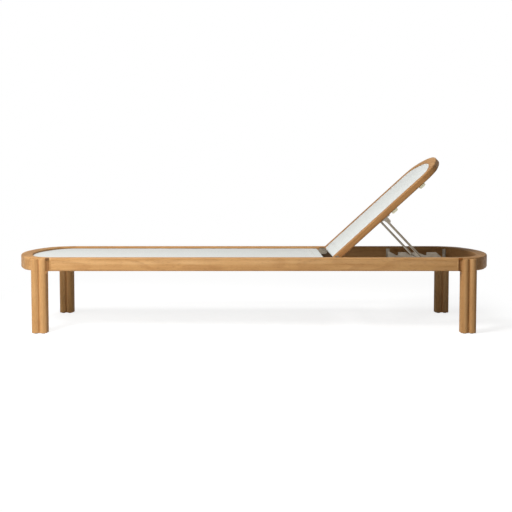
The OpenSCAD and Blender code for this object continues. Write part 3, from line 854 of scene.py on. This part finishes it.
@dataclass
class Sling:
    """A mesh stretched in the grooves of a bowed frame and wrapped round a tube.

    It is worked out flat with its bow towards +X and its tube at the low end, in
    millimetres from the lounger's middle, and then put in place.
    """

    name: str
    body: str
    node: str
    rests_on: tuple[str, ...]
    placed_by: Callable[[np.ndarray], np.ndarray]
    rim: Outline
    face_inset: float
    tube_x: float
    tube_z: float
    hem_x: float
    wrap_half: float
    sheet_z: float
    thickness: float = 1.1
    wrap_r: float = 8.85
    sag: float = 3.0
    hem_tail: float = 16.0
    tuck: float = 26.0
    hem_gap: float = 0.25
    hem_ease: float = 9.0
    ripple: float = 0.22
    ripple_step: float = 11.0
    ripple_reach: float = 28.0
    seam_in: float = 5.0
    seam_start: float = 6.0
    seam_end: float = 5.0
    hem_seams: tuple[float, ...] = (2.0, 9.0)
    stitch_pitch: float = 4.4
    stitch_l: float = 3.1
    thread_r: float = 0.42
    columns: int = 121
    loop_rows: int = 34
    hem_rows: int = 5
    length_rows: int = 150

    def surface(self) -> tuple[np.ndarray, np.ndarray]:
        """Works out the sheet's middle surface and its flat map.

        Rows run from the sewn tail under the sheet, round the tube by angle, and along
        the sheet to the bow, where each column ends on the outline. Columns are spread
        by a sine so that they crowd at the edges. The sheet sags in the middle, and
        small ripples, a sine along it, die away from the edges.

        Returns:
            Points in millimetres, rows by columns by three, and the cloth's map.
        """
        v = np.sin(np.linspace(-math.pi / 2, math.pi / 2, self.columns))
        top = self.sheet_z - self.tube_z
        under = top - self.thickness - self.hem_gap
        far = math.hypot(self.tuck, under)
        leave = math.atan2(under, self.tuck) - math.acos(self.wrap_r / far)
        angle = np.linspace(math.pi / 2, 2 * math.pi + leave, self.loop_rows)
        loop = np.stack([self.wrap_r * np.cos(angle), self.wrap_r * np.sin(angle)], 1)
        step = np.linspace(0, 1, self.hem_rows + 1)[1:, None]
        rise = loop[-1] + (np.array([self.tuck, under]) - loop[-1]) * step
        tail = np.array([self.tuck, under]) + np.array([self.hem_tail, 0]) * step
        wrap = np.vstack([loop, rise, tail])[::-1] + [self.tube_x, self.tube_z]
        wrap[:, 1] += self.sheet_z - (self.tube_z + self.wrap_r)

        share = np.linspace(0, 1, self.length_rows)[1:, None]
        reach = self.rim.reach(self.rim.half * v)
        x = self.tube_x + share * (reach - self.tube_x)
        narrow = np.clip((x - self.hem_x) / self.hem_ease, 0, 1)
        narrow = narrow * narrow * (3 - 2 * narrow)
        y = v * (self.wrap_half + (self.rim.half - self.wrap_half) * narrow)
        length = (x - self.tube_x) / (reach.max() - self.tube_x)
        edge = np.exp(-(self.rim.half - np.abs(y)) / self.ripple_reach)
        ripple = self.ripple * edge * np.sin(x / self.ripple_step) * np.sin(math.pi * length)
        z = self.sheet_z - self.hang(v, length) + ripple
        hem = np.broadcast_arrays(wrap[:, :1], self.wrap_half * v, wrap[:, 1:])
        points = np.vstack([np.stack(hem, -1), np.stack([x, y, z], -1)])

        run = np.concatenate([[0], np.cumsum(np.linalg.norm(np.diff(wrap, axis=0), axis=1))])
        wrapped = np.repeat(run[:, None], self.columns, 1)
        along = np.vstack([wrapped, run[-1] + x - self.tube_x])
        flat = np.stack([along, points[:, :, 1] + self.rim.half], -1)
        return points, flat * MM * MAP_SHARE

    def build(
        self, cloth: bpy.types.Material, thread: bpy.types.Material
    ) -> list[bpy.types.Object]:
        """Makes the cloth and its stitches.

        Args:
            cloth: The mesh's finish.
            thread: The stitches' finish.

        Returns:
            The pieces made.
        """
        points, flat = self.surface()
        rows, columns = points.shape[:2]
        placed = self.placed_by(points.reshape(-1, 3)) * MM
        faces = grid_faces(rows, columns)
        sheet = add_piece(f"{self.name}_cloth", placed, faces, cloth, flat.reshape(-1, 2))
        self.face_up(sheet)
        wall = sheet.modifiers.new("thickness", "SOLIDIFY")
        wall.thickness, wall.offset, wall.use_even_offset = self.thickness * MM, 0.0, True
        seam = self.stitches(thread)
        for piece in (sheet, seam):
            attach(piece, self.body)
        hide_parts(self.node)
        2 * self.rim.half * MM
        return [sheet, seam]

    def face_up(self, sheet: bpy.types.Object) -> None:
        """Turns the faces over if a face well past the tube points down."""
        mesh = sheet.data
        if mesh.polygons[len(mesh.polygons) * 3 // 4].normal.z < 0:
            mesh.flip_normals()

    def stitches(self, thread: bpy.types.Material) -> bpy.types.Object:
        """Sews a row along the rim beside the rail and two across the tube's hem.

        Args:
            thread: The thread's finish.

        Returns:
            The piece with all the stitches.
        """
        inside = self.rim.inset(self.face_inset + self.seam_in)
        spots, ways = inside.line(self.hem_x + self.seam_start, self.stitch_pitch)
        first, last = -self.wrap_half + self.seam_start, self.wrap_half - self.seam_end
        across = np.arange(first, last, self.stitch_pitch)
        for off in self.hem_seams:
            x = np.full_like(across, self.tube_x + self.tuck + off)
            spots = np.vstack([spots, np.stack([x, across], 1)])
            ways = np.vstack([ways, np.tile([0.0, 1.0], (len(across), 1))])
        centres = np.column_stack([spots, self.height(spots) + self.thickness / 2])
        flat_ways = np.column_stack([ways, np.zeros(len(ways))])
        origin = self.placed_by(np.zeros((1, 3)))
        placed = self.placed_by(centres) * MM
        turned = self.placed_by(flat_ways) - origin
        up = self.placed_by(np.array([[0.0, 0.0, 1.0]])) - origin
        ups = np.repeat(up, len(centres), 0)
        points, faces = stitch_row(placed, turned, ups, self.stitch_l * MM, self.thread_r * MM)
        return add_piece(f"{self.name}_stitches", points, faces, thread)

    def height(self, spots: np.ndarray) -> np.ndarray:
        """Returns the sheet's height at plan points, by its sag.

        Args:
            spots: Plan points, one row each.

        Returns:
            Heights of the middle surface in millimetres.
        """
        v = spots[:, 1] / self.rim.half
        length = (spots[:, 0] - self.tube_x) / (self.rim.reach(np.zeros(1))[0] - self.tube_x)
        return self.sheet_z - self.hang(v, length)

    def hang(self, v: np.ndarray, length: np.ndarray) -> np.ndarray:
        """Returns the sag, by a parabola across the sheet and a fourth power along it."""
        return self.sag * ((1 - v**2) * (1 - (2 * length - 1) ** 4))


# The lounger


class Side(Enum):
    """The two sides, by the sign of Y."""

    LEFT = -1
    RIGHT = 1


class End(Enum):
    """The two ends, by the sign of X."""

    FOOT = -1
    HEAD = 1


def piece_name(*parts: "Enum | str") -> str:
    """Joins words, sides and ends to a piece's name."""
    return "_".join(part if isinstance(part, str) else part.name.lower() for part in parts)


def dress(node: str, material: bpy.types.Material) -> None:
    """Gives a CAD node its finish.

    Args:
        node: The node's name.
        material: Its finish.
    """
    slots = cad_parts[node].data.materials
    slots.clear()
    slots.append(material)
    LOG.info("dressed %s with %s", node, material.name)


# Tone and seed of each kind of board. A tone below a half is paler. The back rails' dark tone is
# painted shade, for the shade they stand in.
BOARDS = {
    "side_rail": (0.46, 11), "corner": (0.54, 30), "leg": (0.5, 50), "end_rail": (0.52, 71),
    "stretcher": (0.62, 75), "frame_tenons": (0.6, 78), "rest_ledge": (0.6, 80),
    "back_rail": (0.74, 90), "back_corner": (0.66, 95), "back_top_rail": (0.52, 98),
    "back_tenons": (0.6, 99),
}
# Boards whose tone isn't their kind's. The head's right leg is paler as painted light, making up
# for the shade it stands in.
OWN_TONES = {"foot_leg_left": 0.53, "head_leg_right": 0.3, "head_corner_right": 0.42}


def dress_wood(node: str, kind: str, grain: Point, step: int = 0, **zones: object) -> None:
    """Gives a wooden node teak with a figure of its own.

    Args:
        node: The node's name.
        kind: Its kind of board.
        grain: The way of its grain.
        step: What is added to the kind's seed, from which the figure is drawn.
        **zones: Cut ends, zones and colours, as Teak has them.
    """
    tone, seed = BOARDS[kind]
    tone = OWN_TONES.get(node, tone)
    dress(node, Teak(f"teak_{node}", grain, seed + step, tone, **zones).make())


@dataclass
class RingFrame:
    """The ring of rails and corner blocks, its legs and its cross rails."""

    sizes: Sizes = SIZES
    inner_pass: float = 0.6
    # Place and radius of the painted shade by each hinge.
    stain_off: float = 12.0
    stain_r: float = 34.0
    # Painted bounce light: the hollows at the head get this warmer, lighter colour instead of the
    # dark painted shade.
    head_oiled: Colour = paint(150, 88, 30)

    def dress(self) -> None:
        """Gives each wooden piece teak of its own figure, and the studs and glides theirs."""
        for side in Side:
            self.dress_rail(side)
            for end in End:
                self.dress_corner(end, side)
                self.dress_leg(end, side)
            ledge = piece_name("rest_ledge", side)
            dress_wood(ledge, "rest_ledge", (1, 0, 0), side.value)
        for step, end in enumerate((End.HEAD, End.FOOT)):
            self.dress_end_rail(end, step)
        for step, place in enumerate(("foot", "middle")):
            dress_wood(piece_name(place, "stretcher"), "stretcher", (0, 1, 0), step)
        dress_wood("frame_tenons", "frame_tenons", (1, 0, 0))
        dress("leg_studs", BrushedSteel("steel_ring_hardware", (1, 0, 0)).make())
        black = MouldedPlastic("black_glide", paint(38, 38, 38), paint(78, 76, 72))
        dress("leg_glides", black.make())

    def dress_rail(self, side: Side) -> None:
        """Dresses a side rail, with painted shade on its inner face and by the hinge.

        Args:
            side: The rail's side.
        """
        size = self.sizes
        stain = ((size.hinge_x + self.stain_off) * MM, side.value * size.inner_y * MM)
        dress_wood(
            piece_name("side_rail", side), "side_rail", (1, 0, 0), side.value,
            inner=((size.inner_y + self.inner_pass) * MM,), stain=(*stain, self.stain_r * MM),
        )

    def dress_corner(self, end: End, side: Side) -> None:
        """Dresses a corner block, whose grain runs along the middle of its arc.

        Args:
            end: The block's end.
            side: The block's side.
        """
        size, way, slant = self.sizes, end.value, self.sizes.chord_turn
        # Painted shade in the hollow beside the leg, painted bounce light there at the head, and
        # painted shade on the inner face.
        hollow_y = side.value * (size.ring_w / 2 + size.cove_out)
        inner_r = size.corner_r - size.rail_w + self.inner_pass
        dress_wood(
            piece_name(end, "corner", side), "corner",
            (-way * math.sin(slant), side.value * math.cos(slant), 0),
            3 * side.value + way,
            hollow=(way * size.cove_x * MM, hollow_y * MM, size.cove_r * MM),
            inner=(way * size.corner_x * MM, side.value * size.corner_y * MM, inner_r * MM),
            oiled=self.head_oiled if end is End.HEAD else Teak.oiled,
        )

    def dress_leg(self, end: End, side: Side) -> None:
        """Dresses a leg, with the grain upright and end grain where the block was cut.

        Args:
            end: The leg's end.
            side: The leg's side.
        """
        size = self.sizes
        cuts = (size.ring_top - size.leg_drop, size.rail_low, size.glide_t)
        dress_wood(
            piece_name(end, "leg", side), "leg", (0, 0, 1), 3 * side.value + end.value,
            cut_ends=tuple(z * MM for z in cuts),
        )

    def dress_end_rail(self, end: End, step: int) -> None:
        """Dresses a bowed end rail, with painted shade on its inner face.

        Args:
            end: The rail's end.
            step: What is added to the seed.
        """
        size = self.sizes
        inner_r = size.end_r - size.rail_w + self.inner_pass
        dress_wood(
            piece_name(end, "end_rail"), "end_rail", (0, 1, 0), step,
            inner=(end.value * size.end_x * MM, 0.0, inner_r * MM),
        )


@dataclass
class BackFrame:
    """The tilting back's frame and its buffers."""

    sizes: Sizes = SIZES

    def dress(self) -> None:
        """Gives the back's wood its finish, with the grain along each piece."""
        along, slant = self.sizes.back_way, self.sizes.chord_turn
        part = math.sin(slant)
        for side in Side:
            grain = (-part * along[0], side.value * math.cos(slant), -part * along[2])
            dress_wood(piece_name("back_rail", side), "back_rail", along, side.value)
            dress_wood(piece_name("back_corner", side), "back_corner", grain, side.value)
        dress_wood("back_top_rail", "back_top_rail", (0, 1, 0))
        dress_wood("back_tenons", "back_tenons", along)
        pale = MouldedPlastic("pale_nylon", paint(222, 218, 190), paint(190, 184, 150))
        dress("back_buffers", pale.make())


@dataclass
class Hardware:
    """Hinges, tubes, straps, racks and the strut."""

    sizes: Sizes = SIZES
    plates: tuple[str, ...] = ("hinge_plate", "rack", "front_strap", "rear_strap")
    crossing: tuple[str, ...] = (
        "seat_end_tube", "back_lower_tube", "strut_axle", "foot_rod", "strut_bosses",
        "hinge_bolts", "hinge_screws", "strap_screws", "ledge_screws", "leaf_screws",
        "bracket_screws",
    )
    tilted: tuple[str, ...] = ("hinge_leaf", "strut_bracket")
    arms: tuple[str, ...] = ("strut_arm",)

    def dress(self) -> None:
        """Gives each piece steel that is brushed along its length."""
        dip = math.radians(self.sizes.strut_dip)
        pairs = (
            (self.plates, BrushedSteel("steel_plates", (1, 0, 0))),
            (self.tilted, BrushedSteel("steel_back_fittings", self.sizes.back_way)),
            (self.arms, BrushedSteel("steel_strut_arms", (math.cos(dip), 0, -math.sin(dip)))),
        )
        for nodes, finish in pairs:
            made = finish.make()
            for node in nodes:
                for side in Side:
                    dress(piece_name(node, side), made)
        made = BrushedSteel("steel_cross_rods", (0, 1, 0)).make()
        for node in self.crossing:
            dress(node, made)


@dataclass
class Slings:
    """Both meshes, their welts and stitches."""

    sizes: Sizes = SIZES
    in_groove: float = 8.5
    below_cad: float = 0.6
    welt_lay: float = 2.4 * MM

    def foot_up(self, points: np.ndarray) -> np.ndarray:
        """Mirrors points along X, so that a bow at +X comes to the foot."""
        return points * [-1.0, 1.0, 1.0]

    def raise_back(self, points: np.ndarray) -> np.ndarray:
        """Turns flat points about the hinge pin by the back's angle.

        Args:
            points: Points in millimetres with the back lying flat.

        Returns:
            The same points with the back up.
        """
        turn = math.radians(self.sizes.back_angle)
        pin_x, pin_z = self.sizes.hinge_x, self.sizes.hinge_z
        off_x, off_z = points[:, 0] - pin_x, points[:, 2] - pin_z
        x = pin_x + off_x * math.cos(turn) - off_z * math.sin(turn)
        z = pin_z + off_x * math.sin(turn) + off_z * math.cos(turn)
        return np.column_stack([x, points[:, 1], z])

    def build(self) -> None:
        """Makes both slings and dresses the welts in their grooves."""
        cloth, thread = WovenMesh("white_mesh").make(), TwistedThread("sewing_thread").make()
        dress("seat_welt", TwistedThread("welt_cord", lay=self.welt_lay).make())
        dress("back_welt", TwistedThread("welt_cord_back", lay=self.welt_lay).make())
        dress("seat_sling", cloth)
        dress("back_sling", cloth)
        for sling in (self.seat(), self.back()):
            for piece in sling.build(cloth, thread):
                LOG.info("made %s with %d faces", piece.name, len(piece.data.polygons))

    def seat(self) -> Sling:
        """Fits the seat's mesh, mirrored so that its bow is at +X."""
        size = self.sizes
        return self.sling(
            size.seat_to_hinge - size.hinge_x, size.ring_top - size.seat_drop, size.rail_w,
            name="seat", body="frame", node="seat_sling", placed_by=self.foot_up,
            rests_on=("side_rail_left", "side_rail_right", "seat_end_tube"),
        )

    def back(self) -> Sling:
        """Fits the back's mesh, as it lies flat."""
        size = self.sizes
        return self.sling(
            size.hinge_x + size.back_start, size.hinge_z + size.back_mesh_v,
            size.back_off + size.back_w,
            name="back", body="back", node="back_sling", placed_by=self.raise_back,
            rests_on=("back_rail_left", "back_rail_right", "back_lower_tube"),
            sag=2.0, length_rows=100,
        )

    def sling(self, start: float, mesh_z: float, inset: float, **fields: object) -> Sling:
        """Fits a mesh between its tube and its rails.

        Args:
            start: X at which its loop begins.
            mesh_z: Height of the mesh in the CAD.
            inset: How far the rails' inner faces lie inside the ring's outline.
            **fields: The other fields of a Sling.

        Returns:
            The mesh.
        """
        size = self.sizes
        return Sling(
            rim=size.outline.inset(inset - self.in_groove), face_inset=self.in_groove,
            tube_x=start + size.wrap_r, tube_z=mesh_z + size.tube_up - size.wrap_r,
            hem_x=start + 2 * size.wrap_r + size.hem_pass,
            wrap_half=size.ring_w / 2 - inset - size.tube_end_gap,
            sheet_z=mesh_z - self.below_cad, **fields,
        )


@dataclass(frozen=True)
class Lamp:
    """A soft square lamp, by its place, its target, its side in metres and its watts."""

    name: str
    at: Point
    target: Point
    size: float
    power: float

    def hang(self) -> None:
        """Hangs the lamp, turned to its target."""
        data = bpy.data.lights.new(self.name, "AREA")
        data.shape, data.size, data.energy = "SQUARE", self.size, self.power
        lamp = bpy.data.objects.new(self.name, data)
        lamp.location = self.at
        way = Vector(self.target) - Vector(self.at)
        lamp.rotation_euler = way.to_track_quat("-Z", "Y").to_euler()
        bpy.context.scene.collection.objects.link(lamp)


@dataclass
class Studio:
    """The pale floor, the soft lights and the camera.

    The camera sees the floor as a faint matt over a glow that together come to white in
    full light. From shadow_sides and shadow_ends on, along X and Y, it is plain white.
    """

    camera_at: Point = (0.0085, -5.05, 0.683)
    pitch: float = 4.37
    focal_px: float = 1133.0
    frame_px: float = 512.0
    sensor: float = 36.0
    view_end: float = 100.0
    floor_half: float = 14.0
    floor_glow: float = 0.835
    floor_matt: float = 0.4
    floor_pale: float = 0.8
    shadow_ends: tuple[float, float] = (1.5, 3.2)
    shadow_sides: tuple[float, float] = (1.0, 1.35)
    soft_tint: Colour = (1.0, 0.96, 0.9)
    soft_light: float = 0.06
    mirror_light: float = 0.5
    lamps: tuple[Lamp, ...] = (
        Lamp("key_lamp", (-1.5, -2.5, 2.05), (-0.3, 0, 0.3), 0.8, 68),
        Lamp("end_lamp", (-3.0, -1.3, 1.1), (-0.9, 0, 0.3), 1.2, 13),
        Lamp("top_lamp", (-0.8, -0.9, 3.1), (-0.1, 0, 0.3), 1.6, 48),
    )

    def build(self) -> None:
        """Sets up everything that isn't part of the lounger."""
        self.place_camera()
        self.lay_floor()
        self.light_world()
        for lamp in self.lamps:
            lamp.hang()
        bpy.context.scene.view_settings.view_transform = "Standard"

    def place_camera(self) -> None:
        """Puts the camera where the photograph was taken from."""
        data = bpy.data.cameras.new("camera")
        data.sensor_width = self.sensor
        data.lens = self.focal_px / self.frame_px * self.sensor
        data.clip_end = self.view_end
        camera = bpy.data.objects.new("camera", data)
        camera.location = self.camera_at
        camera.rotation_euler = (math.radians(90 - self.pitch), 0, 0)
        bpy.context.scene.collection.objects.link(camera)
        bpy.context.scene.camera = camera

    def lay_floor(self) -> None:
        """Lays a white floor that keeps the lounger's shadow and ends in white."""
        book = NodeBook("studio_floor")
        mirrored = book.ray("Is Glossy Ray").most(book.ray("Is Transmission Ray"))
        seen = book.ray("Is Camera Ray").most(mirrored)
        plain = book.shader("ShaderNodeBsdfDiffuse", {"Color": (self.floor_pale,) * 3})
        matt = book.shader("ShaderNodeBsdfDiffuse", {"Color": (self.floor_matt,) * 3})
        glow = book.shader("ShaderNodeEmission", {"Color": WHITE, "Strength": self.floor_glow})
        white = book.shader("ShaderNodeEmission", {"Color": WHITE, "Strength": 1.0})
        lit = book.shader("ShaderNodeAddShader", {0: matt, 1: glow})
        east, north, _ = book.parts(book.place())
        far = abs(east).rise(*self.shadow_sides).most(abs(north).rise(*self.shadow_ends))
        book.close(book.blend(seen, plain, book.blend(far, lit, white)))
        corners = np.array([[-1, -1, 0], [1, -1, 0], [1, 1, 0], [-1, 1, 0]])
        points, faces = corners * self.floor_half, np.array([[0, 1, 2, 3]])
        floor = add_piece("studio_floor", points, faces, book.owner)

    def light_world(self) -> None:
        """Gives soft light all round, and plain white where the camera sees past the floor."""
        book = NodeBook("studio", world=True)
        strength = book.ray("Is Glossy Ray") * self.mirror_light + self.soft_light
        soft = {"Color": self.soft_tint, "Strength": strength}
        lit = book.shader("ShaderNodeBackground", soft)
        white = book.shader("ShaderNodeBackground", {"Color": WHITE, "Strength": 1.0})
        book.close(book.blend(book.ray("Is Camera Ray"), lit, white), "ShaderNodeOutputWorld")
        bpy.context.scene.world = book.owner


def main() -> None:
    """Builds the studio and the lounger's sub-assemblies in order."""
    logging.basicConfig(level=logging.INFO, format="%(name)s: %(message)s")
    Studio().build()
    RingFrame().dress()
    BackFrame().dress()
    Hardware().dress()
    Slings().build()


if __name__ == "__main__":
    main()
